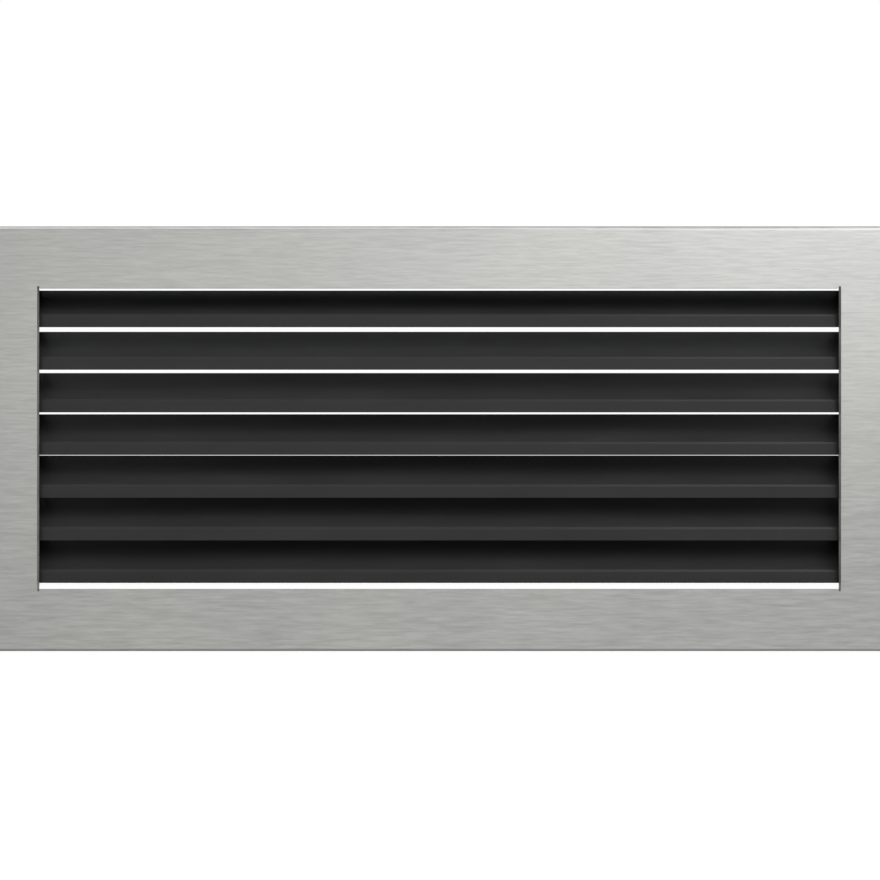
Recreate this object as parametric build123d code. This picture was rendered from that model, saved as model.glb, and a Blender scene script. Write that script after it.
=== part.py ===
from build123d import *

import os
from math import asin, atan2, cos, degrees, sin, tan

# Warm air grille: a brushed steel face frame with fixed, sloping louvre blades
# behind its window. The blades hang in a folded cassette that is bolted to the
# back of the face and plugs, on leaf springs, into a sleeve built into the wall.
#
# Millimetres. X runs along the grille, Z is up and +Y points into the wall.
# The origin is the middle of the wall plane, which the sleeve's rim and the
# face frame's folded edges rest on.

# Face frame
face_width = 370.0
face_height = 170.0
face_sheet = 1.0
face_bend = 0.8
side_border = 24.7
end_border = 25.0
window_fold_depth = 2.6
window_fold_corner = 0.15
window_relief_width = 1.0
window_relief_length = 0.8
corner_seam = 0.5
corner_seam_reach = 3.0

# Louvre blades
blade_count = 7
blade_sheet = 1.0
blade_bend = 0.6
blade_setback = 3.7
blade_lip = 5.1
blade_depth = 17.0
sight_gap = 0.4
last_lip_gap = 2.05
tab_width = 5.0
front_tab_start = 2.5
rear_tab_start = 12.5
tab_clearance = 0.1
tab_proud = 0.6

# Cassette that carries the blades
cassette_sheet = 1.0
cassette_bend = 1.0
cassette_rear = 16.0
cassette_side_gap = 5.7
cassette_end_gap = 2.0
flange_clearance = 1.5
rail_ear_width = 12.0
rail_ear_length = 9.0
rail_ear_rear_gap = 3.0
rear_corner_chamfer = 4.0

# Wall sleeve
sleeve_sheet = 1.0
sleeve_bend = 1.0
sleeve_corner = 1.5
sleeve_depth = 30.0
sleeve_cover = 10.0
rim_clearance = 2.0
screw_hole_radius = 2.25
screw_hole_spacing = 90.0
anchor_width = 12.0
anchor_length = 8.0
anchor_window = 9.5
anchor_bend = 0.6
anchor_start = 9.0
anchor_slit = 0.5
anchor_spacing = 180.0

# Leaf springs
clip_sheet = 0.5
clip_width = 8.0
clip_bend = 1.5
clip_rear_gap = 0.7
clip_base = 6.0
clip_ramp = 5.7
clip_nose = 4.2
clip_tip_lift = 0.8
clip_wall_clearance = 0.3
clip_blade_clearance = 0.6
clip_blades = (2, 5)

# Fasteners
rivet_radius = 1.5
rivet_head_radius = 2.6
rivet_head_height = 1.0
rivet_tail_radius = 2.3
rivet_tail_height = 0.8
rivet_hole_clearance = 0.05
stud_radius = 1.5
stud_proud = 1.3
stud_rim_gap = 0.8
stud_hole_clearance = 0.3
stud_spacing_up = 100.0
washer_radius = 3.5
washer_thickness = 0.5
nut_across_flats = 5.5
nut_thickness = 2.4
thread_clearance = 0.05

# How far a cut runs past the metal on each side
overcut = 1.0

# Places worked out from the sizes above
face_depth = (
    face_sheet + cassette_sheet + washer_thickness + nut_thickness
    + stud_proud + stud_rim_gap + sleeve_sheet
)
face_front = -face_depth
face_back = face_front + face_sheet
window_width = face_width - 2 * side_border
window_height = face_height - 2 * end_border

sleeve_width = face_width - 2 * sleeve_cover
sleeve_height = face_height - 2 * sleeve_cover
sleeve_inner_x = sleeve_width / 2 - sleeve_sheet
sleeve_inner_z = sleeve_height / 2 - sleeve_sheet

cassette_x = sleeve_inner_x - cassette_side_gap
cassette_z = sleeve_inner_z - cassette_end_gap
blade_span = 2 * (cassette_x - cassette_sheet)
flange_x = face_width / 2 - face_sheet - flange_clearance
flange_z = face_height / 2 - face_sheet - flange_clearance

blade_pitch = window_height / blade_count
blade_front = face_front + blade_setback
blade_rise = blade_pitch - blade_lip - sight_gap
blade_slope = atan2(blade_rise, blade_depth)
clip_x = cassette_x + clip_sheet / 2
clip_crest_x = sleeve_inner_x - clip_wall_clearance - clip_sheet / 2


def along_x(section, start, end):
    """Extrudes a section drawn in Y and Z from one X to another."""
    plane = Plane((start, 0, 0), x_dir=(0, 1, 0), z_dir=(1, 0, 0))
    return extrude(plane * section, amount=end - start)


def along_y(section, start, end):
    """Extrudes a section drawn in X and Z from one Y to another."""
    plane = Plane((0, end, 0), x_dir=(1, 0, 0), z_dir=(0, -1, 0))
    return extrude(plane * section, amount=end - start)


def along_z(section, start, end):
    """Extrudes a section drawn in X and Y from one Z to another."""
    return extrude(Plane((0, 0, start)) * section, amount=end - start)


def bent_sheet(points, sheet, inside_bend):
    """Section of a folded sheet whose middle line runs through the points."""
    middle = FilletPolyline(*points, radius=inside_bend + sheet / 2)
    return trace(middle, line_width=sheet)


def block(x, y, z):
    """Box between two values on each axis."""
    size = Box(x[1] - x[0], y[1] - y[0], z[1] - z[0])
    return Pos((x[0] + x[1]) / 2, (y[0] + y[1]) / 2, (z[0] + z[1]) / 2) * size


def pin(centre, axis, radius, length):
    """Cylinder of a given length that starts at a point and runs along an axis."""
    plane = Plane(centre, z_dir=axis)
    return extrude(plane * Circle(radius), amount=length)


def mirrored_x(part):
    """The same part on the other side of the middle."""
    return mirror(part, about=Plane.YZ)


def mirrored_z(part):
    """The same part at the other end, above or below the middle."""
    return mirror(part, about=Plane.XY)


def four_corners(part):
    """The same part in all four corners of the grille."""
    pair = [part, mirrored_x(part)]
    return pair + [mirrored_z(one) for one in pair]


def stud_places():
    """X and Z of every weld stud, round the face frame's border."""
    side_x = (cassette_x + flange_x) / 2
    end_z = (cassette_z + flange_z) / 2
    sides = [(x, z) for x in (-side_x, side_x) for z in (-stud_spacing_up / 2, stud_spacing_up / 2)]
    return sides + [(0.0, -end_z), (0.0, end_z)]


def blade_bottom(number):
    """Height of a blade's lower edge, with the blades counted from the top."""
    lowest = -window_height / 2 + last_lip_gap
    return lowest + (blade_count - number) * blade_pitch


def blade_crown(number):
    """Height of a blade's upper rear edge."""
    return blade_bottom(number) + blade_lip + blade_rise


def clip_height(number):
    """Middle of the leaf spring that lies just above the crown of the next blade."""
    return blade_crown(number + 1) + clip_blade_clearance + clip_width / 2


def clip_rivet_y():
    """Y of the rivet through a leaf spring's base."""
    return cassette_rear - clip_rear_gap - clip_base / 2


def face_shell():
    """Flat front with its four edges folded back to the wall."""
    outer_bend = face_bend + face_sheet
    outside = block(
        (-face_width / 2, face_width / 2),
        (face_front, 0),
        (-face_height / 2, face_height / 2),
    )
    front_edges = outside.faces().sort_by(Axis.Y)[0].edges()
    outside = fillet(front_edges, outer_bend)
    hollow = block(
        (-face_width / 2 + face_sheet, face_width / 2 - face_sheet),
        (face_back, overcut),
        (-face_height / 2 + face_sheet, face_height / 2 - face_sheet),
    )
    hollow_edges = hollow.faces().sort_by(Axis.Y)[0].edges()
    return outside - fillet(hollow_edges, face_bend)


def corner_seams():
    """Slits where the folded edges of two neighbouring sides meet."""
    start = face_back + face_bend
    slit = along_y(Rectangle(2 * corner_seam_reach, corner_seam), start, overcut)
    right = Pos(face_width / 2, 0, face_height / 2) * Rot(0, -45, 0) * slit
    return four_corners(right)


def window_folds():
    """Edges of the window's two sides, folded back along a milled groove, so nearly sharp."""
    edge = window_width / 2
    right = block(
        (edge, edge + face_sheet),
        (face_front + face_sheet / 2, face_front + window_fold_depth),
        (-window_height / 2, window_height / 2),
    )
    return [right, mirrored_x(right)]


def window_side_corners(shell):
    """The two upright edges of the front where the window's sides are folded back."""
    upright = shell.edges().filter_by(Axis.Z)
    in_front = upright.filter_by_position(Axis.Y, face_front, face_front)
    return in_front.filter_by_position(Axis.X, -window_width / 2, window_width / 2)


def window_reliefs():
    """Small notches beside the folded edges, at the window's four corners."""
    edge = window_width / 2
    cut = block(
        (edge - window_relief_width, edge),
        (face_front - overcut, face_back + overcut),
        (0, window_height / 2 + window_relief_length),
    )
    return four_corners(cut)


def face_frame():
    """Brushed front: one folded sheet with the louvre window cut in it."""
    opening = Rectangle(window_width, window_height)
    shell = face_shell() - along_y(opening, face_front - overcut, face_back + overcut)
    shell += window_folds()
    shell = fillet(window_side_corners(shell), window_fold_corner)
    return shell - corner_seams() - window_reliefs()


def blade_section(number):
    """Upright lip with a plate that slopes up and back from it."""
    lip_top = blade_bottom(number) + blade_lip
    half = blade_sheet / 2
    middle = blade_front + half
    corner = lip_top + half * tan(blade_slope) - half / cos(blade_slope)
    rear = blade_front + blade_depth + half * sin(blade_slope)
    crown = blade_crown(number) - half * cos(blade_slope)
    points = [(middle, blade_bottom(number)), (middle, corner), (rear, crown)]
    return bent_sheet(points, blade_sheet, blade_bend)


def tab_section(number, start, clearance):
    """Section of one end tab, grown by a clearance where it is a slot."""
    lip_top = blade_bottom(number) + blade_lip
    middle = start + tab_width / 2
    half = blade_sheet / 2
    y = blade_front + middle * cos(blade_slope) + half * sin(blade_slope)
    z = lip_top + middle * sin(blade_slope) - half * cos(blade_slope)
    outline = Rectangle(tab_width + 2 * clearance, blade_sheet + 2 * clearance)
    return Pos(y, z) * Rot(0, 0, degrees(blade_slope)) * outline


def louvre_blade(number):
    """One blade with two tabs at each end."""
    half_span = blade_span / 2
    half_reach = cassette_x + tab_proud
    blade = along_x(blade_section(number), -half_span, half_span)
    for start in (front_tab_start, rear_tab_start):
        tab = tab_section(number, start, 0)
        blade += along_x(tab, half_span - blade_sheet, half_reach)
        blade += along_x(tab, -half_reach, blade_sheet - half_span)
    return blade


def side_plate():
    """Right-hand end of the cassette, with a flange that bolts to the face."""
    web = cassette_x - cassette_sheet / 2
    front = face_back + cassette_sheet / 2
    points = [(flange_x, front), (web, front), (web, cassette_rear)]
    section = bent_sheet(points, cassette_sheet, cassette_bend)
    plate = along_z(section, -cassette_z, cassette_z)
    return plate - blade_slots() - side_rivet_holes() - stud_holes() - rear_corners()


def blade_slots():
    """Slots in the right-hand side plate for the tabs of every blade."""
    inner = cassette_x - cassette_sheet - overcut
    outer = cassette_x + overcut
    starts = (front_tab_start, rear_tab_start)
    numbers = range(1, blade_count + 1)
    sections = [tab_section(number, start, tab_clearance) for number in numbers for start in starts]
    return [along_x(section, inner, outer) for section in sections]


def side_rivet_holes():
    """Holes in the right-hand side plate for the rivets of its leaf springs."""
    start = cassette_x - cassette_sheet - overcut
    length = cassette_sheet + 2 * overcut
    radius = rivet_radius + rivet_hole_clearance
    heights = [clip_height(number) for number in clip_blades]
    return [pin((start, clip_rivet_y(), z), (1, 0, 0), radius, length) for z in heights]


def stud_holes():
    """Holes in the cassette's flanges for the weld studs."""
    radius = stud_radius + stud_hole_clearance
    start = face_back - overcut
    length = cassette_sheet + 2 * overcut
    return [pin((x, start, z), (0, 1, 0), radius, length) for x, z in stud_places()]


def rear_corners():
    """Material trimmed off the rear corners of a side plate."""
    start = (cassette_rear - rear_corner_chamfer, cassette_z)
    end = (cassette_rear, cassette_z - rear_corner_chamfer)
    corner = make_face(Polyline(start, (cassette_rear, cassette_z), end, close=True))
    cut = along_x(corner, cassette_x - cassette_sheet - overcut, cassette_x + overcut)
    return [cut, mirrored_z(cut)]


def top_rail():
    """Upper side of the cassette, with an ear at each end that is welded to a side plate."""
    web = cassette_z - cassette_sheet / 2
    front = face_back + cassette_sheet / 2
    points = [(front, flange_z), (front, web), (cassette_rear, web)]
    section = bent_sheet(points, cassette_sheet, cassette_bend)
    half_span = blade_span / 2
    rail = along_x(section, -half_span, half_span) - stud_holes()
    ear = rail_ear()
    return rail + ear + mirrored_x(ear)


def rail_ear():
    """Folded ear at the right-hand end of the upper rail."""
    web = cassette_z - cassette_sheet / 2
    upright = blade_span / 2 - cassette_sheet / 2
    landing = upright - 2 * (cassette_sheet + cassette_bend)
    points = [(landing, web), (upright, web), (upright, cassette_z - rail_ear_length)]
    section = bent_sheet(points, cassette_sheet, cassette_bend)
    rear = cassette_rear - rail_ear_rear_gap
    return along_y(section, rear - rail_ear_width, rear)


def spring_clip(number):
    """Leaf spring on the right-hand side plate that presses on the sleeve."""
    rear = cassette_rear - clip_rear_gap
    crest = rear - clip_base - clip_ramp
    points = [
        (clip_x, rear),
        (clip_x, rear - clip_base),
        (clip_crest_x, crest),
        (clip_x + clip_tip_lift, crest - clip_nose),
    ]
    section = bent_sheet(points, clip_sheet, clip_bend)
    height = clip_height(number)
    leaf = along_z(section, height - clip_width / 2, height + clip_width / 2)
    hole_radius = rivet_radius + rivet_hole_clearance
    start = (cassette_x - overcut, clip_rivet_y(), height)
    hole = pin(start, (1, 0, 0), hole_radius, clip_sheet + 2 * overcut)
    return leaf - hole


def rivet(y, z):
    """Rivet along X through a leaf spring and the right-hand side plate."""
    inner = cassette_x - cassette_sheet
    outer = cassette_x + clip_sheet
    shank = pin((inner, y, z), (1, 0, 0), rivet_radius, outer - inner)
    tail = pin((inner, y, z), (-1, 0, 0), rivet_tail_radius, rivet_tail_height)
    dome_radius = (rivet_head_radius**2 + rivet_head_height**2) / (2 * rivet_head_height)
    rim_angle = degrees(asin(1 - rivet_head_height / dome_radius))
    on_base = (Align.CENTER, Align.CENTER, Align.MIN)
    dome = Sphere(dome_radius, arc_size1=rim_angle, arc_size2=90, align=on_base)
    return shank + tail + Plane((outer, y, z), z_dir=(1, 0, 0)) * dome


def clip_rivets():
    """Four rivets that hold the leaf springs."""
    right = [rivet(clip_rivet_y(), clip_height(number)) for number in clip_blades]
    return Compound(right + [mirrored_x(one) for one in right])


def weld_studs():
    """Studs welded to the back of the face, one for each nut."""
    length = face_depth - face_sheet - sleeve_sheet - stud_rim_gap
    return Compound([pin((x, face_back, z), (0, 1, 0), stud_radius, length) for x, z in stud_places()])


def stud_washers():
    """Flat washers between the cassette's flanges and the nuts."""
    seat = face_back + cassette_sheet
    washers = []
    for x, z in stud_places():
        disc = pin((x, seat, z), (0, 1, 0), washer_radius, washer_thickness)
        start = (x, seat - overcut, z)
        bore = pin(start, (0, 1, 0), stud_radius + thread_clearance, washer_thickness + 2 * overcut)
        washers.append(disc - bore)
    return Compound(washers)


def stud_nuts():
    """Hexagon nuts on the weld studs."""
    seat = face_back + cassette_sheet + washer_thickness
    hexagon = RegularPolygon(nut_across_flats / 2, 6, major_radius=False)
    section = hexagon - Circle(stud_radius + thread_clearance)
    nut = along_y(section, seat, seat + nut_thickness)
    return Compound([Pos(x, 0, z) * nut for x, z in stud_places()])


def sleeve_tube():
    """The sleeve's four walls, folded from one strip, as far as the bends of the rim."""
    outside = RectangleRounded(sleeve_width, sleeve_height, sleeve_corner + sleeve_sheet)
    inside = RectangleRounded(2 * sleeve_inner_x, 2 * sleeve_inner_z, sleeve_corner)
    return along_y(outside - inside, sleeve_bend, sleeve_depth)


def rim_bend(wall, length):
    """Bend that carries the rim along the upper wall, at the wall's outer height."""
    middle = wall - sleeve_sheet / 2
    landing = 2 * (sleeve_bend + sleeve_sheet)
    points = [(-sleeve_sheet / 2, wall + landing), (-sleeve_sheet / 2, middle), (landing, middle)]
    straight = length / 2 - sleeve_corner - sleeve_sheet
    return along_x(bent_sheet(points, sleeve_sheet, sleeve_bend), -straight, straight)


def rim_ring():
    """Flat part of the rim, welded into one ring at its mitred corners."""
    reach = 2 * (face_sheet + rim_clearance)
    outside = Rectangle(face_width - reach, face_height - reach)
    inside = Rectangle(sleeve_width + 2 * sleeve_bend, sleeve_height + 2 * sleeve_bend)
    return along_y(outside - inside, -sleeve_sheet, 0)


def anchor(wall, place):
    """Tongue cut from the upper wall and bent out, and the hole that it leaves."""
    middle = wall - sleeve_sheet / 2
    hinge = anchor_start + sleeve_sheet / 2
    landing = hinge - 2 * (sleeve_sheet + anchor_bend)
    points = [(landing, middle), (hinge, middle), (hinge, wall + anchor_length)]
    half = anchor_width / 2
    tongue = along_x(bent_sheet(points, sleeve_sheet, anchor_bend), place - half, place + half)
    hole = block(
        (place - half - anchor_slit, place + half + anchor_slit),
        (anchor_start - anchor_bend, anchor_start + anchor_window),
        (wall - sleeve_sheet - overcut, wall + overcut),
    )
    return tongue, hole


def wall_sleeve():
    """Galvanised sleeve that is built into the wall and takes the cassette."""
    quarter_turn = Rot(0, 90, 0)
    side_bend = quarter_turn * rim_bend(sleeve_width / 2, sleeve_height)
    end_bend = rim_bend(sleeve_height / 2, sleeve_width)
    side = [quarter_turn * shape for shape in anchor(sleeve_width / 2, 0)]
    anchors = [side, [mirrored_x(shape) for shape in side]]
    for place in (-anchor_spacing / 2, anchor_spacing / 2):
        upper = anchor(sleeve_height / 2, place)
        anchors += [upper, [mirrored_z(shape) for shape in upper]]
    walls = sleeve_tube() - screw_holes() - [hole for _, hole in anchors]
    bends = [end_bend, mirrored_z(end_bend), side_bend, mirrored_x(side_bend)]
    return walls + bends + rim_ring() + [tongue for tongue, _ in anchors]


def screw_holes():
    """Two screw holes in each side wall, behind the cassette."""
    y = (cassette_rear + sleeve_depth) / 2
    heights = (-screw_hole_spacing / 2, screw_hole_spacing / 2)
    return [pin((-sleeve_width, y, z), (1, 0, 0), screw_hole_radius, 2 * sleeve_width) for z in heights]


def build():
    """Every piece of the grille, by the name of its node."""
    right_plate = side_plate()
    upper_rail = top_rail()
    upper_clip, lower_clip = [spring_clip(number) for number in clip_blades]
    pieces = {
        "wall_sleeve": wall_sleeve(),
        "face_frame": face_frame(),
        "side_plate_right": right_plate,
        "side_plate_left": mirrored_x(right_plate),
        "top_rail": upper_rail,
        "bottom_rail": mirrored_z(upper_rail),
        "spring_clip_upper_right": upper_clip,
        "spring_clip_upper_left": mirrored_x(upper_clip),
        "spring_clip_lower_right": lower_clip,
        "spring_clip_lower_left": mirrored_x(lower_clip),
        "clip_rivets": clip_rivets(),
        "weld_studs": weld_studs(),
        "stud_washers": stud_washers(),
        "stud_nuts": stud_nuts(),
    }
    for number in range(1, blade_count + 1):
        pieces[f"louvre_blade_{number}"] = louvre_blade(number)
    return pieces


os.makedirs("parts", exist_ok=True)
for name, piece in build().items():
    export_step(piece, f"parts/{name}.step")
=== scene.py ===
"""Looks of a warm air grille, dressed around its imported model.

Metres, in the part's own frame: X runs along the grille, +Z is up and +Y points into
the wall. The origin is the middle of the wall plane, and the face looks along -Y.
"""

import logging
import math
from collections.abc import Callable, Iterable, Sequence
from dataclasses import dataclass, field
from enum import Enum
from typing import Any

import bmesh
import bpy
from mathutils import Matrix, Vector


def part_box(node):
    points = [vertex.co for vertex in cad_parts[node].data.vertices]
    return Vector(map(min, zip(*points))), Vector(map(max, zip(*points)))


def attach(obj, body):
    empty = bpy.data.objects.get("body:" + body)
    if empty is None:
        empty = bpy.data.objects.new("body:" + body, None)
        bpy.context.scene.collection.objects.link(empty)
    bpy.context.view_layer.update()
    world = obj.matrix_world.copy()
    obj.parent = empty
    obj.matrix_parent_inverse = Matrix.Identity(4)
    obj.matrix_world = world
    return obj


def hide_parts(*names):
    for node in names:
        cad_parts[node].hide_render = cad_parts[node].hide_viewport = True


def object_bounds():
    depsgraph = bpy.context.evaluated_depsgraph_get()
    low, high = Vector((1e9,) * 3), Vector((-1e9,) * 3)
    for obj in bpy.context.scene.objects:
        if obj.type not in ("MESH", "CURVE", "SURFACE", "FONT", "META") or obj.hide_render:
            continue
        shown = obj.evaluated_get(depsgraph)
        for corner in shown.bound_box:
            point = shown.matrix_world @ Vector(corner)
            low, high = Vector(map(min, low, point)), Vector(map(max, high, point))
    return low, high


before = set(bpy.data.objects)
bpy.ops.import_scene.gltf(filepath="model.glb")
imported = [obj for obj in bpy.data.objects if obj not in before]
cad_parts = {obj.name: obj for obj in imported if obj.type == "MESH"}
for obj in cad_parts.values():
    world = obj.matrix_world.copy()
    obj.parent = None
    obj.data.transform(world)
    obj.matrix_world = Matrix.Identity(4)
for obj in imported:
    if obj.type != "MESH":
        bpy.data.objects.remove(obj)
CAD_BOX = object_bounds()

log = logging.getLogger("warm_air_grille")

# A span holds where a smooth step starts and where it ends. A band holds where it starts,
# where it is full, where it starts to fade and where it ends.
Triple = tuple[float, float, float]
Colour = Triple
Span = tuple[float, float]
Band = tuple[float, float, float, float]
Ring = list[Vector]

MM = 0.001
SHARP_ANGLE = math.radians(35)
BEVEL_SAMPLES = 4
# How alike a rounded and a flat normal are where wear starts and where it is full.
EDGE_LIKENESS: Span = (0.995, 0.80)
BLACK: Colour = (0.0, 0.0, 0.0)
WHITE: Colour = (1.0, 1.0, 1.0)


class Axis(Enum):
    """A direction of the part's frame."""

    X = "X"
    Y = "Y"
    Z = "Z"


class Ray(Enum):
    """A kind of ray that shaders tell apart."""

    CAMERA = "Is Camera Ray"
    GLOSSY = "Is Glossy Ray"
    THROUGH = "Is Transmission Ray"


class Operation(Enum):
    """What a Math or a Vector Math node works out."""

    ADD = "ADD"
    SUBTRACT = "SUBTRACT"
    MULTIPLY = "MULTIPLY"
    MULTIPLY_ADD = "MULTIPLY_ADD"
    MAXIMUM = "MAXIMUM"
    ABSOLUTE = "ABSOLUTE"
    SCALE = "SCALE"
    DOT_PRODUCT = "DOT_PRODUCT"


class Signal:
    """One output socket, with the arithmetic that shader maths needs."""

    def __init__(self, graph: "Graph", socket: bpy.types.NodeSocket) -> None:
        """Wraps a socket.

        Args:
            graph: the node tree that the socket belongs to.
            socket: the output socket.
        """
        self.graph = graph
        self.socket = socket

    def _math(self, operation: Operation, *values: "Signal | float", clamp: bool = False) -> "Signal":
        """Adds one Math node.

        Args:
            operation: what it works out.
            values: its inputs in order.
            clamp: whether the result is kept between 0 and 1.

        Returns:
            The node's result.
        """
        settings = {"operation": operation.value, "use_clamp": clamp}
        return self.graph.add("ShaderNodeMath", settings, dict(enumerate(values)))

    def __add__(self, other: "Signal | float") -> "Signal":
        """self + other."""
        return self._math(Operation.ADD, self, other)

    def __radd__(self, other: "Signal | float") -> "Signal":
        """other + self."""
        return self._math(Operation.ADD, other, self)

    def __sub__(self, other: "Signal | float") -> "Signal":
        """self - other."""
        return self._math(Operation.SUBTRACT, self, other)

    def __rsub__(self, other: "Signal | float") -> "Signal":
        """other - self."""
        return self._math(Operation.SUBTRACT, other, self)

    def __mul__(self, other: "Signal | float") -> "Signal":
        """self * other."""
        return self._math(Operation.MULTIPLY, self, other)

    def __rmul__(self, other: "Signal | float") -> "Signal":
        """other * self."""
        return self._math(Operation.MULTIPLY, other, self)

    def clamped(self) -> "Signal":
        """The value kept between 0 and 1."""
        return self._math(Operation.ADD, self, 0.0, clamp=True)

    def unsigned(self) -> "Signal":
        """The value without its sign."""
        return self._math(Operation.ABSOLUTE, self)

    def larger(self, other: "Signal | float") -> "Signal":
        """The larger of two values."""
        return self._math(Operation.MAXIMUM, self, other)

    def swing(self, amount: float) -> "Signal":
        """Noise around 0.5 turned into a change around 0, scaled by the amount."""
        return (self - 0.5) * amount

    def rises(self, low: float, high: float) -> "Signal":
        """A smooth step.

        Args:
            low: the value at which the step starts at 0.
            high: the value at which it ends at 1; below low, the step falls instead.

        Returns:
            The step, between 0 and 1.
        """
        settings = {"interpolation_type": "SMOOTHSTEP"}
        inputs = {"Value": self, "From Min": low, "From Max": high}
        return self.graph.add("ShaderNodeMapRange", settings, inputs)

    def band(self, start: float, full: float, fading: float, end: float) -> "Signal":
        """A band with smooth sides.

        Args:
            start: the value at which the band starts at 0.
            full: the value at which it reaches 1.
            fading: the value at which it starts to fade.
            end: the value at which it is back at 0.

        Returns:
            The band, between 0 and 1.
        """
        return self.rises(start, full) * self.rises(end, fading)


class Graph:
    """A node tree and the one method that makes its nodes."""

    def __init__(self, tree: bpy.types.NodeTree) -> None:
        """Empties a node tree and takes it over.

        Args:
            tree: the tree of a material or of the world.
        """
        tree.nodes.clear()
        self.tree = tree

    def node(
        self,
        kind: str,
        settings: dict[str, Any] | None = None,
        inputs: dict[str | int, Any] | None = None,
    ) -> bpy.types.Node:
        """Makes a node, with its settings first and its sockets after them.

        Args:
            kind: the node's type.
            settings: its properties, such as a Math node's operation.
            inputs: a value or a signal for each named or numbered socket.

        Returns:
            The node.
        """
        node = self.tree.nodes.new(kind)
        for name, value in (settings or {}).items():
            setattr(node, name, value)
        for name, value in (inputs or {}).items():
            if isinstance(value, Signal):
                self.tree.links.new(value.socket, node.inputs[name])
            else:
                node.inputs[name].default_value = value
        return node

    def add(
        self,
        kind: str,
        settings: dict[str, Any] | None = None,
        inputs: dict[str | int, Any] | None = None,
        output: str | int = 0,
    ) -> Signal:
        """Makes a node whose result is used.

        Args:
            kind: the node's type.
            settings: its properties.
            inputs: a value or a signal for each named or numbered socket.
            output: the output that is wanted.

        Returns:
            That output.
        """
        return Signal(self, self.node(kind, settings, inputs).outputs[output])

    def ray(self, kind: Ray) -> Signal:
        """1 for one kind of ray, 0 for the others."""
        return self.add("ShaderNodeLightPath", output=kind.value)

    def coordinate(self, vector: Signal, axis: Axis) -> Signal:
        """One coordinate of a place or a direction."""
        return self.add("ShaderNodeSeparateXYZ", inputs={0: vector}, output=axis.value)

    def place(self) -> Signal:
        """The surface's own place on the part, in metres."""
        return self.add("ShaderNodeTexCoord", output="Object")

    def along(self, axis: Axis) -> Signal:
        """One coordinate of the surface's own place on the part, in metres."""
        return self.coordinate(self.place(), axis)

    def vector(self, operation: Operation, inputs: dict[str | int, Any], output: str | int = 0) -> Signal:
        """Adds one Vector Math node.

        Args:
            operation: what it works out.
            inputs: a value or a signal for each of its sockets.
            output: the output that is wanted.

        Returns:
            That output.
        """
        return self.add("ShaderNodeVectorMath", {"operation": operation.value}, inputs, output)

    def stretched(self, scale: Triple, offset: float = 0.0) -> Signal:
        """The place on the part, scaled along each axis.

        Args:
            scale: pattern units per metre along each axis.
            offset: what is added after scaling, so that two patterns differ.

        Returns:
            A vector to feed a texture.
        """
        return self.vector(Operation.MULTIPLY_ADD, {0: self.place(), 1: scale, 2: (offset,) * 3})

    def noise(self, scale: Triple, detail: float, offset: float = 0.0) -> Signal:
        """Soft noise.

        Args:
            scale: cells per metre along each axis.
            detail: how many finer layers it has.
            offset: moves the pattern.

        Returns:
            The noise, around 0.5.
        """
        inputs = {"Vector": self.stretched(scale, offset), "Scale": 1.0, "Detail": detail}
        return self.add("ShaderNodeTexNoise", {"noise_dimensions": "3D"}, inputs, "Fac")

    def grains(self, size: float, detail: float) -> Signal:
        """Soft noise whose cells are as long as they are wide.

        Args:
            size: how wide a cell is, in metres.
            detail: how many finer layers it has.

        Returns:
            The noise, around 0.5.
        """
        return self.noise((1 / size,) * 3, detail)

    def mixed(self, factor: Signal, first: Signal | Colour, second: Signal | Colour) -> Signal:
        """Two colours mixed by a factor.

        Args:
            factor: the second colour's share.
            first: the colour at factor 0.
            second: the colour at factor 1.

        Returns:
            The mixed colour.
        """
        settings = {"data_type": "RGBA", "blend_type": "MIX"}
        inputs = {"Factor": factor, 6: self._opaque(first), 7: self._opaque(second)}
        return self.add("ShaderNodeMix", settings, inputs, 2)

    def shaded(self, colour: Signal | Colour, brightness: Signal) -> Signal:
        """A colour made lighter or darker.

        Args:
            colour: the colour.
            brightness: what each channel is multiplied by.

        Returns:
            The new colour.
        """
        return self.vector(Operation.SCALE, {0: colour, "Scale": brightness})

    def bump(self, height: Signal, depth: float, strength: float, below: Signal | None = None) -> Signal:
        """A bump for the Normal socket.

        Args:
            height: the relief, around 0 to 1.
            depth: how deep a height of 1 is, in metres.
            strength: how much of it shows.
            below: another bump that this one lies on.

        Returns:
            The bent normal.
        """
        inputs: dict[str | int, Any] = {"Height": height, "Distance": depth, "Strength": strength}
        if below is not None:
            inputs["Normal"] = below
        return self.add("ShaderNodeBump", inputs=inputs)

    def edges(self, radius: float) -> Signal:
        """How near the surface is to a sharp outer or inner edge.

        Args:
            radius: how far from the edge the value fades out, in metres.

        Returns:
            0 on flat metal and about 1 right at the edge.
        """
        rounded = self.add("ShaderNodeBevel", {"samples": BEVEL_SAMPLES}, {"Radius": radius})
        flat = self.add("ShaderNodeNewGeometry", output="Normal")
        likeness = self.vector(Operation.DOT_PRODUCT, {0: rounded, 1: flat}, "Value")
        return likeness.rises(*EDGE_LIKENESS)

    @staticmethod
    def _opaque(colour: Signal | Colour) -> Any:
        """A colour with its alpha, or a signal as it is."""
        return colour if isinstance(colour, Signal) else (*colour, 1.0)


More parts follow.
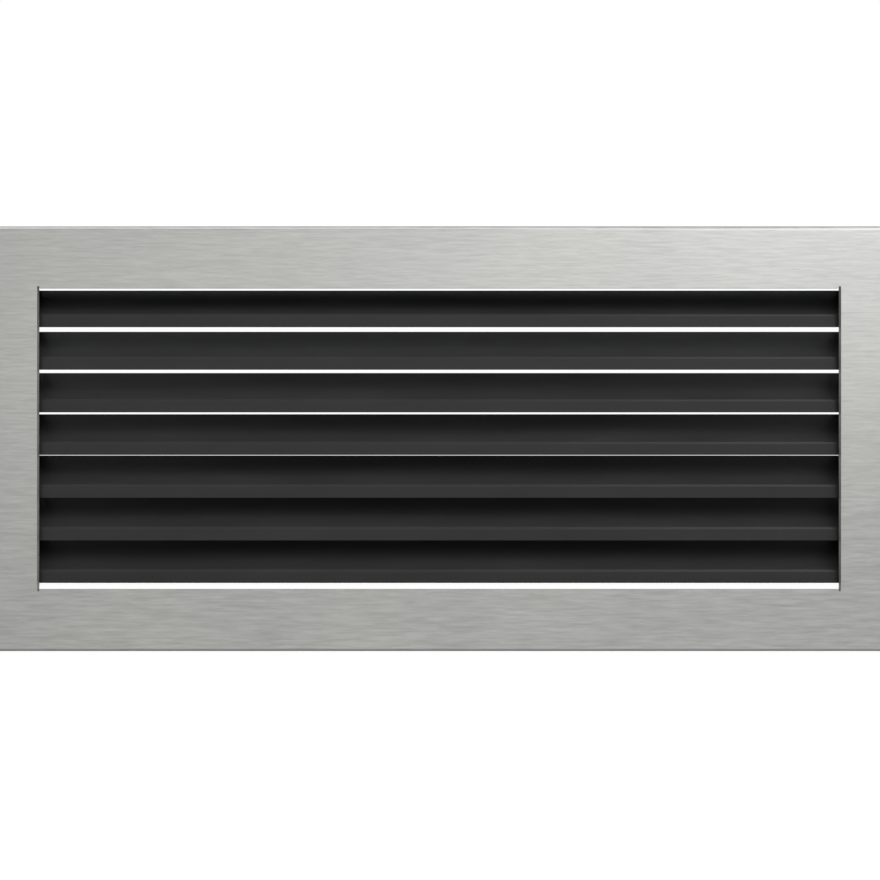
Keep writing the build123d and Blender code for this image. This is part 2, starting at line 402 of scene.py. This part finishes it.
@dataclass(frozen=True)
class Finish:
    """A surface finish. Each kind of finish fills in the shader's sockets.

    In the finishes a contrast changes the brightness, a dulling adds roughness, a polish
    takes some away, and a relief is the depth of a bump or one layer's part in it.
    """

    name: str

    def material(self) -> bpy.types.Material:
        """Makes the finish's material.

        Returns:
            The material, complete with its nodes.
        """
        material = bpy.data.materials.new(self.name)
        material.use_nodes = True
        graph = Graph(material.node_tree)
        surface = graph.add("ShaderNodeBsdfPrincipled", inputs=self.sockets(graph))
        graph.node("ShaderNodeOutputMaterial", inputs={"Surface": surface})
        return material

    def sockets(self, graph: Graph) -> dict[str | int, Any]:
        """What goes into the shader's sockets.

        Args:
            graph: the material's node tree.

        Returns:
            A value or a signal for each socket.
        """
        raise NotImplementedError


@dataclass(frozen=True)
class BrushedSteel(Finish):
    """Stainless sheet with a fine horizontal brushed grain.

    The cut's spans are counted from the face's front and from the window's edges, the
    painted highlight line and the painted shade line from the face's upper edge, and the
    painted shade on the lower bend from its lower edge. The painted shade line's end is
    counted from the middle to the right.
    """

    colour: Colour = (0.308, 0.309, 0.303)
    warmth: Triple = (1.01, 1.005, 0.975)
    roughness: float = 0.33
    streak_length: float = 10 * MM
    streak_height: float = 0.85 * MM
    streak_contrast: float = 0.44
    streak_dulling: float = 0.18
    streak_relief: float = 0.6
    hair_length: float = 10 * MM / 3
    hair_height: float = 0.11 * MM
    hair_contrast: float = 0.24
    hair_relief: float = 0.4
    scratch_length: float = 45 * MM
    scratch_height: float = 0.22 * MM
    scratch_share: Span = (0.60, 0.75)
    scratch_contrast: float = 0.08
    scratch_dulling: float = 0.08
    scratch_relief: float = 0.3
    cloud_size: float = 60 * MM
    cloud_contrast: float = 0.10
    cloud_tint: Span = (0.35, 0.65)
    relief: float = 0.010 * MM
    relief_strength: float = 0.35
    window_x: float = 160.3 * MM
    window_z: float = 60.0 * MM
    cut_behind_face: Span = (0.02 * MM, 0.12 * MM)
    cut_past_ends: Span = (0.9 * MM, 0.4 * MM)
    cut_past_sides: Span = (1.2 * MM, 0.9 * MM)
    cut_dulling: float = 0.38
    # Painted highlight along the upper bend, a band counted from the face's upper edge.
    painted_highlight_band: Band = (0.10 * MM, 0.45 * MM, 0.70 * MM, 1.30 * MM)
    painted_highlight_contrast: float = 1.25
    # Painted shade that dims the upper bend towards the right end.
    painted_shade_band: Band = (0.4 * MM, 0.8 * MM, 1.2 * MM, 1.7 * MM)
    painted_shade_end: Span = (0.0, 130 * MM)
    painted_shade_contrast: float = 0.33
    # Painted shade along the lower bend.
    painted_lower_shade: Span = (1.6 * MM, 0.7 * MM)
    painted_lower_shade_contrast: float = 0.5

    def sockets(self, graph: Graph) -> dict[str | int, Any]:
        """Streaks, scratches and slow clouds in the brushing, duller cut edges, and painted
        light and shade on the bends.

        Args:
            graph: the material's node tree.

        Returns:
            A value or a signal for each socket.
        """
        streaks = self._grain(graph, self.streak_length, self.streak_height)
        hairs = self._grain(graph, self.hair_length, self.hair_height, offset=7.0)
        scratches = self._grain(graph, self.scratch_length, self.scratch_height, offset=3.0)
        scratch = scratches.rises(*self.scratch_share)
        cloud = graph.grains(self.cloud_size, detail=1.0)
        bright = 1.0 + streaks.swing(self.streak_contrast) + hairs.swing(self.hair_contrast)
        bright = bright + cloud.swing(self.cloud_contrast)
        # The bends carry a painted highlight and painted shade.
        bright = bright * (1.0 - scratch * self.scratch_contrast) * self._bends(graph)
        tone = graph.mixed(cloud.rises(*self.cloud_tint), self.colour, self._warmer())
        rough = self.roughness + streaks.swing(self.streak_dulling) + scratch * self.scratch_dulling
        rough = rough + self._window_edge(graph) * self.cut_dulling
        height = streaks * self.streak_relief + hairs * self.hair_relief - scratch * self.scratch_relief
        return {
            "Base Color": graph.shaded(tone, bright),
            "Metallic": 1.0,
            "Roughness": rough.clamped(),
            "Normal": graph.bump(height, self.relief, self.relief_strength),
        }

    def _window_edge(self, graph: Graph) -> Signal:
        """Finds the cut and folded edges round the window.

        Args:
            graph: the material's node tree.

        Returns:
            1 on those edges, 0 on the rest of the sheet.
        """
        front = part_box("face_frame")[0].y
        behind = (graph.along(Axis.Y) - front).rises(*self.cut_behind_face)
        ends = (graph.along(Axis.X).unsigned() - self.window_x).rises(*self.cut_past_ends)
        sides = (graph.along(Axis.Z).unsigned() - self.window_z).rises(*self.cut_past_sides)
        return behind * ends * sides

    def _bends(self, graph: Graph) -> Signal:
        """Paints light and shade on the two long bends of the sheet.

        The upper bend has a painted highlight line, dimmed by painted shade towards the right
        end, and the lower bend is darkened with painted shade.

        Args:
            graph: the material's node tree.

        Returns:
            What the sheet's brightness is multiplied by.
        """
        low, high = (corner.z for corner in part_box("face_frame"))
        from_top = high - graph.along(Axis.Z)
        from_bottom = graph.along(Axis.Z) - low
        # A painted highlight line along the upper bend.
        painted_highlight = from_top.band(*self.painted_highlight_band)
        # Painted shade on that line, growing towards the right end.
        painted_shade = from_top.band(*self.painted_shade_band) * graph.along(Axis.X).rises(*self.painted_shade_end)
        # Painted shade along the lower bend.
        lower = from_bottom.rises(*self.painted_lower_shade)
        upper = (1.0 + painted_highlight * self.painted_highlight_contrast) * (1.0 - painted_shade * self.painted_shade_contrast)
        return upper * (1.0 - lower * self.painted_lower_shade_contrast)

    def _grain(self, graph: Graph, length: float, height: float, offset: float = 0.0) -> Signal:
        """Noise drawn out along the grille.

        Args:
            graph: the material's node tree.
            length: how long a streak is.
            height: how high a streak is.
            offset: moves the pattern, so that two layers differ.

        Returns:
            Streaks around 0.5.
        """
        return graph.noise((1 / length, 1 / height, 1 / height), detail=3.0, offset=offset)

    def _warmer(self) -> Colour:
        """The steel's colour, a little warmer."""
        return tuple(channel * gain for channel, gain in zip(self.colour, self.warmth))


@dataclass(frozen=True)
class BlackPaint(Finish):
    """Semi-gloss black stove paint with a faint orange peel."""

    colour: Colour = (0.0225, 0.0225, 0.0223)
    edge_colour: Colour = (0.032, 0.032, 0.032)
    edge_radius: float = 0.35 * MM
    edge_share: float = 0.6
    edge_polish: float = 0.05
    roughness: float = 0.24
    specular: float = 0.11
    peel_size: float = 0.8 * MM
    peel_relief: float = 0.02 * MM
    peel_strength: float = 0.25
    speck_size: float = 0.12 * MM
    speck_contrast: float = 0.25
    speck_dulling: float = 0.06
    speck_relief: float = 0.004 * MM
    speck_strength: float = 0.3
    film_length: float = 45 * MM
    film_width: float = 11.25 * MM
    film_contrast: float = 0.35
    film_dulling: float = 0.12

    def sockets(self, graph: Graph) -> dict[str | int, Any]:
        """Orange peel, fine specks and thinner paint on the edges.

        Args:
            graph: the material's node tree.

        Returns:
            A value or a signal for each socket.
        """
        peel = graph.grains(self.peel_size, detail=2.0)
        specks = graph.grains(self.speck_size, detail=1.0)
        film = graph.noise((1 / self.film_length, 1 / self.film_width, 1 / self.film_width), detail=2.0)
        thin = graph.edges(self.edge_radius)
        tone = graph.mixed(thin * self.edge_share, self.colour, self.edge_colour)
        bright = 1.0 + film.swing(self.film_contrast) + specks.swing(self.speck_contrast)
        rough = self.roughness + film.swing(self.film_dulling) + specks.swing(self.speck_dulling)
        rough = rough - thin * self.edge_polish
        under = graph.bump(peel, self.peel_relief, self.peel_strength)
        return {
            "Base Color": graph.shaded(tone, bright),
            "Roughness": rough.clamped(),
            "Specular IOR Level": self.specular,
            "Normal": graph.bump(specks, self.speck_relief, self.speck_strength, under),
        }


@dataclass(frozen=True)
class GalvanisedSheet(Finish):
    """Dull zinc-coated sheet with a faint spangle."""

    dark: Colour = (0.40, 0.42, 0.43)
    light: Colour = (0.56, 0.58, 0.59)
    roughness: float = 0.42
    metallic: float = 0.9
    spangle_size: float = 6 * MM
    spangle_share: float = 0.75
    spangle_warp: float = 0.9
    spangle_dulling: float = 0.16
    spangle_relief: float = 0.6
    feather_size: float = 1 / 900
    feather_share: float = 0.25
    feather_relief: float = 0.4
    bloom_size: float = 25 * MM
    bloom_share: Span = (0.5, 0.7)
    bloom_contrast: float = 0.22
    bloom_dulling: float = 0.12
    edge_radius: float = 0.4 * MM
    edge_contrast: float = 0.18
    relief: float = 0.02 * MM
    relief_strength: float = 0.15

    def sockets(self, graph: Graph) -> dict[str | int, Any]:
        """Spangles of slightly different greys under a dull bloom.

        Args:
            graph: the material's node tree.

        Returns:
            A value or a signal for each socket.
        """
        spangle = self._spangle(graph)
        feather = graph.grains(self.feather_size, detail=3.0)
        bloom = graph.grains(self.bloom_size, detail=4.0)
        cut = graph.edges(self.edge_radius)
        share = (spangle * self.spangle_share + feather * self.feather_share).clamped()
        tone = graph.mixed(share, self.dark, self.light)
        bright = (1.0 + bloom.swing(self.bloom_contrast)) * (1.0 - cut * self.edge_contrast)
        rough = self.roughness + spangle.swing(self.spangle_dulling)
        rough = rough + bloom.rises(*self.bloom_share) * self.bloom_dulling
        height = feather * self.feather_relief + spangle * self.spangle_relief
        return {
            "Base Color": graph.shaded(tone, bright),
            "Metallic": self.metallic,
            "Roughness": rough.clamped(),
            "Normal": graph.bump(height, self.relief, self.relief_strength),
        }

    def _spangle(self, graph: Graph) -> Signal:
        """Zinc crystals with wavy borders.

        Args:
            graph: the material's node tree.

        Returns:
            A shade of its own for each crystal, between 0 and 1.
        """
        warp = graph.grains(self.spangle_size, detail=2.0)
        wobble = graph.shaded(WHITE, warp.swing(self.spangle_warp))
        place = graph.stretched((1 / self.spangle_size,) * 3)
        bent = graph.vector(Operation.ADD, {0: place, 1: wobble})
        cells = graph.add("ShaderNodeTexVoronoi", inputs={"Vector": bent, "Scale": 1.0}, output="Color")
        return graph.add("ShaderNodeSeparateColor", inputs={0: cells})


@dataclass(frozen=True)
class RolledSpring(Finish):
    """Cold rolled spring strip, blued by its heat treatment."""

    colour: Colour = (0.30, 0.31, 0.33)
    straw: Colour = (0.36, 0.31, 0.24)
    roughness: float = 0.30
    line_length: float = 20 * MM
    line_height: float = 0.12 * MM
    line_contrast: float = 0.3
    line_dulling: float = 0.2
    tint_size: float = 14 * MM
    tint_share: Span = (0.42, 0.62)
    tint_strength: float = 0.7
    edge_radius: float = 0.25 * MM
    edge_contrast: float = 0.35
    relief: float = 0.006 * MM
    relief_strength: float = 0.3

    def sockets(self, graph: Graph) -> dict[str | int, Any]:
        """Rolling lines along the strip and patches of temper colour.

        Args:
            graph: the material's node tree.

        Returns:
            A value or a signal for each socket.
        """
        scale = (1 / self.line_length, 1 / self.line_length, 1 / self.line_height)
        lines = graph.noise(scale, detail=3.0)
        tint = graph.grains(self.tint_size, detail=2.0).rises(*self.tint_share)
        tone = graph.mixed(tint * self.tint_strength, self.colour, self.straw)
        edge = graph.edges(self.edge_radius)
        bright = (1.0 + lines.swing(self.line_contrast)) * (1.0 + edge * self.edge_contrast)
        return {
            "Base Color": graph.shaded(tone, bright),
            "Metallic": 1.0,
            "Roughness": (self.roughness + lines.swing(self.line_dulling)).clamped(),
            "Normal": graph.bump(lines, self.relief, self.relief_strength),
        }


@dataclass(frozen=True)
class ZincPlate(Finish):
    """Bright plating on turned and pressed fasteners."""

    colour: Colour = (0.56, 0.57, 0.57)
    tinted: Colour = (0.55, 0.54, 0.46)
    roughness: float = 0.30
    grain_size: float = 0.15 * MM
    grain_contrast: float = 0.25
    grain_dulling: float = 0.2
    tint_size: float = 3 * MM
    tint_share: Span = (0.45, 0.65)
    tint_strength: float = 0.5
    edge_radius: float = 0.2 * MM
    edge_contrast: float = 0.2
    edge_polish: float = 0.08
    relief: float = 0.005 * MM
    relief_strength: float = 0.3

    def sockets(self, graph: Graph) -> dict[str | int, Any]:
        """Fine crystals, a faint second tint and rubbed edges.

        Args:
            graph: the material's node tree.

        Returns:
            A value or a signal for each socket.
        """
        grain = graph.grains(self.grain_size, detail=2.0)
        tint = graph.grains(self.tint_size, detail=2.0).rises(*self.tint_share)
        tone = graph.mixed(tint * self.tint_strength, self.colour, self.tinted)
        rubbed = graph.edges(self.edge_radius)
        bright = (1.0 + grain.swing(self.grain_contrast)) * (1.0 + rubbed * self.edge_contrast)
        rough = self.roughness + grain.swing(self.grain_dulling) - rubbed * self.edge_polish
        return {
            "Base Color": graph.shaded(tone, bright),
            "Metallic": 1.0,
            "Roughness": rough.clamped(),
            "Normal": graph.bump(grain, self.relief, self.relief_strength),
        }


@dataclass
class Workshop:
    """Makes each finish once and puts it on pieces and nodes."""

    made: dict[str, bpy.types.Material] = field(default_factory=dict)

    def material(self, finish: Finish) -> bpy.types.Material:
        """Looks up a finish's material, which is made the first time it is asked for.

        Args:
            finish: the finish.

        Returns:
            Its material.
        """
        if finish.name not in self.made:
            self.made[finish.name] = finish.material()
        return self.made[finish.name]

    def dress(self, nodes: Iterable[str], finish: Finish) -> None:
        """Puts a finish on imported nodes, in their own material slots.

        Args:
            nodes: names of the nodes.
            finish: the finish.
        """
        for name in nodes:
            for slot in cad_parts[name].material_slots:
                slot.material = self.material(finish)
            log.info("%s dressed in %s", name, finish.name)


def piece(name: str, mesh: bmesh.types.BMesh, material: bpy.types.Material) -> bpy.types.Object:
    """Turns a mesh in progress into an object of the scene.

    Args:
        name: the piece's name.
        mesh: its faces; it is freed here.
        material: its material.

    Returns:
        The object, shaded smooth up to sharp edges.
    """
    data = bpy.data.meshes.new(name)
    bmesh.ops.recalc_face_normals(mesh, faces=mesh.faces)
    for face in mesh.faces:
        face.smooth = True
    mesh.to_mesh(data)
    mesh.free()
    data.materials.append(material)
    data.set_sharp_from_angle(angle=SHARP_ANGLE)
    made = bpy.data.objects.new(name, data)
    bpy.context.scene.collection.objects.link(made)
    log.info("%s built with %d faces", name, len(data.polygons))
    return made


def loft(mesh: bmesh.types.BMesh, rings: Sequence[Ring], hollow: bool) -> None:
    """Joins closed rings of points, each to the next.

    Args:
        mesh: the mesh that takes the faces.
        rings: the rings, all with as many points.
        hollow: whether the last ring joins the first, instead of both being capped.
    """
    rows = [[mesh.verts.new(point) for point in ring] for ring in rings]
    pairs = list(zip(rows, rows[1:]))
    if hollow:
        pairs.append((rows[-1], rows[0]))
    else:
        mesh.faces.new(rows[0])
        mesh.faces.new(rows[-1])
    for row, above in pairs:
        for i in range(len(row)):
            j = (i + 1) % len(row)
            mesh.faces.new((row[i], row[j], above[j], above[i]))


@dataclass
class FacePanel:
    """The brushed face frame that closes the wall opening."""

    finish: BrushedSteel = BrushedSteel("brushed_stainless")

    def build(self, workshop: Workshop) -> None:
        """Dresses the face."""
        workshop.dress(["face_frame"], self.finish)


@dataclass
class LouvreCassette:
    """Seven blades in two side plates and two rails, all painted black."""

    finish: BlackPaint = BlackPaint("black_stove_paint")

    def build(self, workshop: Workshop) -> None:
        """Dresses every painted node.

        Args:
            workshop: holds the materials.
        """
        blades = sorted(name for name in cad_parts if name.startswith("louvre_blade_"))
        plates = ["side_plate_left", "side_plate_right", "top_rail", "bottom_rail"]
        workshop.dress(blades + plates, self.finish)


@dataclass
class LeafSprings:
    """The four leaf springs and their rivets."""

    finish: RolledSpring = RolledSpring("blued_spring_strip")
    rivet_finish: ZincPlate = ZincPlate("bright_zinc")

    def build(self, workshop: Workshop) -> None:
        """Dresses the springs and the rivets.

        Args:
            workshop: holds the materials.
        """
        clips = sorted(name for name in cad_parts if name.startswith("spring_clip_"))
        workshop.dress(clips, self.finish)
        workshop.dress(["clip_rivets"], self.rivet_finish)


@dataclass
class Fasteners:
    """Six threaded weld studs on the face's back, with their washers and nuts.

    Four stand beside the window's short ends, side_z above and below the middle, and
    two at the middle of its long sides.
    """

    zinc: ZincPlate = ZincPlate("bright_zinc")
    copper: ZincPlate = ZincPlate("copper_flash", colour=(0.56, 0.36, 0.25), tinted=(0.50, 0.37, 0.29))
    side_z: float = 50 * MM
    steps: int = 36
    stud_radius: float = 1.5 * MM
    thread_depth: float = 0.28 * MM
    thread_pitch: float = 0.5 * MM
    rings_per_turn: int = 5
    bore_radius: float = 1.55 * MM
    nut_half_flats: float = 2.75 * MM
    nut_chamfer: float = 0.18 * MM
    nut_sector: float = math.tau / 6
    corner_slope: float = math.radians(30)
    nut_rim: float = 0.05 * MM
    least_drop: float = 0.03 * MM

    def build(self, workshop: Workshop) -> None:
        """Dresses the washers and puts threads and chamfers on the rest.

        Args:
            workshop: holds the materials.
        """
        workshop.dress(["stud_washers"], self.zinc)
        self._stand_in("weld_studs", self._stud, workshop.material(self.copper), hollow=False)
        self._stand_in("stud_nuts", self._nut, workshop.material(self.zinc), hollow=True)

    def _stand_in(
        self,
        node: str,
        shape: Callable[[float, float], list[Ring]],
        material: bpy.types.Material,
        hollow: bool,
    ) -> None:
        """Makes the finer shape of one node, at all six places.

        Args:
            node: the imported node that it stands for.
            shape: gives the rings of one fastener between two depths.
            material: its material.
            hollow: whether it has a bore.
        """
        low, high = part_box(node)
        mesh = bmesh.new()
        for x, z in self._places():
            centre = Vector((x, 0.0, z))
            rings = [[point + centre for point in ring] for ring in shape(low.y, high.y)]
            loft(mesh, rings, hollow)
        made = piece(f"{node}_fine", mesh, material)
        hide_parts(node)
        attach(made, "grille")

    def _places(self) -> list[tuple[float, float]]:
        """Finds the six studs.

        Returns:
            X and Z of each.
        """
        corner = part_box("weld_studs")[1]
        side_x, end_z = corner.x - self.stud_radius, corner.z - self.stud_radius
        sides = [(x, z) for x in (-side_x, side_x) for z in (-self.side_z, self.side_z)]
        return sides + [(0.0, -end_z), (0.0, end_z)]

    def _ring(self, shape: Callable[[float], tuple[float, float]]) -> Ring:
        """One ring round the Y axis.

        Args:
            shape: gives its depth and its radius at an angle.

        Returns:
            Its points.
        """
        ring = []
        for step in range(self.steps):
            angle = math.tau * step / self.steps
            depth, radius = shape(angle)
            ring.append(Vector((radius * math.cos(angle), depth, radius * math.sin(angle))))
        return ring

    def _stud(self, start: float, end: float) -> list[Ring]:
        """A threaded stud with a chamfered tip.

        Args:
            start: the depth of its root.
            end: the depth of its tip.

        Returns:
            Its rings, from the root to the tip.
        """
        rows = math.ceil((end - start) / self.thread_pitch) * self.rings_per_turn
        depths = [start + (end - start) * row / rows for row in range(rows + 1)]
        return [self._ring(lambda angle: (y, self._thread(y, end, angle))) for y in depths]

    def _thread(self, y: float, end: float, angle: float) -> float:
        """The stud's radius where its thread runs.

        Args:
            y: the depth of the ring.
            end: the depth of the tip.
            angle: the angle round the stud.

        Returns:
            The radius.
        """
        phase = (y / self.thread_pitch + angle / math.tau) % 1.0
        groove = 1.0 - abs(2.0 * phase - 1.0)
        tip = max(0.0, self.thread_depth - (end - y))
        return self.stud_radius - max(groove * self.thread_depth, tip)

    def _nut(self, start: float, end: float) -> list[Ring]:
        """A hexagon nut with chamfered corners and a chamfered bore.

        Args:
            start: the depth of the side on its washer.
            end: the depth of its outer side.

        Returns:
            Its rings, out of the bore, round the flats and back.
        """
        flat = self.nut_half_flats - self.nut_rim
        bore, mouth = self.bore_radius, self.bore_radius + self.nut_chamfer
        return [
            self._ring(lambda angle: (start + self.nut_chamfer, bore)),
            self._ring(lambda angle: (start, mouth)),
            self._ring(lambda angle: (start, flat)),
            self._ring(lambda angle: (start + self._corner_drop(angle), self._hexagon(angle))),
            self._ring(lambda angle: (end - self._corner_drop(angle), self._hexagon(angle))),
            self._ring(lambda angle: (end, flat)),
            self._ring(lambda angle: (end, mouth)),
            self._ring(lambda angle: (end - self.nut_chamfer, bore)),
        ]

    def _hexagon(self, angle: float) -> float:
        """How far the nut's flats lie from its middle at an angle."""
        off = (angle + self.nut_sector / 2) % self.nut_sector - self.nut_sector / 2
        return self.nut_half_flats / math.cos(off)

    def _corner_drop(self, angle: float) -> float:
        """How far the chamfer reaches down the flats at an angle."""
        past_flats = self._hexagon(angle) - self.nut_half_flats
        return past_flats * math.tan(self.corner_slope) + self.least_drop


@dataclass
class WallSleeve:
    """The galvanised sleeve in the wall."""

    finish: GalvanisedSheet = GalvanisedSheet("galvanised_sheet")

    def build(self, workshop: Workshop) -> None:
        """Dresses the sleeve."""
        workshop.dress(["wall_sleeve"], self.finish)


@dataclass(frozen=True)
class Lamp:
    """A soft rectangular lamp aimed at the middle of the grille.

    Its brightness is what a white card sees looking at it.
    """

    name: str
    place: Triple
    width: float
    height: float
    brightness: float

    def build(self) -> None:
        """Makes the lamp."""
        data = bpy.data.lights.new(self.name, "AREA")
        data.shape = "RECTANGLE"
        data.size = self.width
        data.size_y = self.height
        data.energy = self.brightness * math.pi * self.width * self.height
        lamp = bpy.data.objects.new(self.name, data)
        place = Vector(self.place)
        lamp.matrix_world = Matrix.LocRotScale(place, (-place).to_track_quat("-Z", "Y"), None)
        bpy.context.scene.collection.objects.link(lamp)
        log.info("%s set up", self.name)


@dataclass
class Studio:
    """White surroundings, soft lamps, a pale floor and the camera.

    The world's light depends on the direction that it comes from: its height is that
    direction's Z and its depth is its Y.
    """

    distance: float = 480 * MM
    aim_x: float = 0.4 * MM
    aim_z: float = -0.5 * MM
    picture_width: float = 350.9 * MM
    sensor: float = 36.0
    floor_drop: float = 0.30
    floor_size: float = 40.0
    floor_colour: Colour = (0.80, 0.80, 0.80)
    floor_roughness: float = 0.9
    floor_glow: Colour = (0.59, 0.59, 0.59)
    light_in_front: Colour = (0.03, 0.03, 0.03)
    light_above: Colour = (1.6, 1.6, 1.6)
    light_overhead: Colour = (0.10, 0.10, 0.10)
    light_behind: Colour = (0.02, 0.02, 0.02)
    above_heights: Span = (0.15, 0.45)
    overhead_heights: Span = (0.75, 0.90)
    behind_depths: Span = (-0.25, 0.15)
    ceiling: Colour = (0.03, 0.03, 0.03)
    ceiling_heights: Span = (0.74, 0.96)
    ceiling_depths: Span = (0.0, 0.2)
    lamps: tuple[Lamp, ...] = (
        Lamp("lamp_right", (0.46, -1.51, 0.37), width=1.10, height=0.75, brightness=1.08),
        Lamp("lamp_left", (-0.30, -1.13, 0.19), width=0.68, height=0.59, brightness=0.55),
        Lamp("lamp_near", (0.60, -0.50, 0.60), width=1.10, height=0.70, brightness=2.5),
        Lamp("lamp_above", (0.0, -0.80, 1.10), width=1.60, height=0.50, brightness=1.0),
    )

    def build(self) -> None:
        """Sets up everything around the grille."""
        self._world()
        self._floor()
        self._camera()
        for lamp in self.lamps:
            lamp.build()
        bpy.context.scene.view_settings.view_transform = "Standard"

    def _mirrored(self, graph: Graph) -> Signal:
        """1 for rays that come by way of a mirror or through glass."""
        return graph.ray(Ray.GLOSSY).larger(graph.ray(Ray.THROUGH))

    def _world(self) -> None:
        """White where it is seen, dim at a mirrored ceiling, with soft light from the front."""
        world = bpy.data.worlds.new("white_studio")
        world.use_nodes = True
        graph = Graph(world.node_tree)
        direction = graph.add("ShaderNodeTexCoord", output="Generated")
        depth = graph.coordinate(direction, Axis.Y)
        height = graph.coordinate(direction, Axis.Z)
        front = graph.mixed(height.rises(*self.above_heights), self.light_in_front, self.light_above)
        front = graph.mixed(height.rises(*self.overhead_heights), front, self.light_overhead)
        soft = graph.mixed(depth.rises(*self.behind_depths), front, self.light_behind)
        overhead = height.rises(*self.ceiling_heights) * depth.rises(*self.ceiling_depths)
        room = graph.mixed(overhead, WHITE, self.ceiling)
        unseen = graph.mixed(self._mirrored(graph), soft, room)
        colour = graph.mixed(graph.ray(Ray.CAMERA), unseen, WHITE)
        background = graph.add("ShaderNodeBackground", inputs={"Color": colour, "Strength": 1.0})
        graph.node("ShaderNodeOutputWorld", inputs={"Surface": background})
        bpy.context.scene.world = world

    def _floor(self) -> None:
        """A plain pale floor that keeps the grille's shadow."""
        material = bpy.data.materials.new("pale_floor")
        material.use_nodes = True
        graph = Graph(material.node_tree)
        seen = graph.ray(Ray.CAMERA).larger(self._mirrored(graph))
        sockets = {
            "Base Color": (*self.floor_colour, 1.0),
            "Roughness": self.floor_roughness,
            "Specular IOR Level": 0.0,
            "Emission Color": graph.mixed(seen, BLACK, self.floor_glow),
            "Emission Strength": 1.0,
        }
        surface = graph.add("ShaderNodeBsdfPrincipled", inputs=sockets)
        graph.node("ShaderNodeOutputMaterial", inputs={"Surface": surface})
        half = self.floor_size / 2
        low = CAD_BOX[0].z - self.floor_drop
        corners = [(-half, -half), (half, -half), (half, half), (-half, half)]
        mesh = bmesh.new()
        mesh.faces.new([mesh.verts.new((x, y, low)) for x, y in corners])
        floor = piece("floor", mesh, material)

    def _camera(self) -> None:
        """The camera looks straight at the face, as in the photograph."""
        data = bpy.data.cameras.new("camera")
        data.sensor_width = self.sensor
        data.lens = self.sensor * self.distance / self.picture_width
        camera = bpy.data.objects.new("camera", data)
        face_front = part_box("face_frame")[0].y
        camera.location = (self.aim_x, face_front - self.distance, self.aim_z)
        camera.rotation_euler = (math.radians(90), 0.0, 0.0)
        bpy.context.scene.collection.objects.link(camera)
        bpy.context.scene.camera = camera


def main() -> None:
    """Builds the classes in order."""
    logging.basicConfig(level=logging.INFO, format="%(name)s: %(message)s")
    workshop = Workshop()
    for part in (FacePanel(), LouvreCassette(), LeafSprings(), Fasteners(), WallSleeve()):
        part.build(workshop)
    Studio().build()


if __name__ == "__main__":
    main()
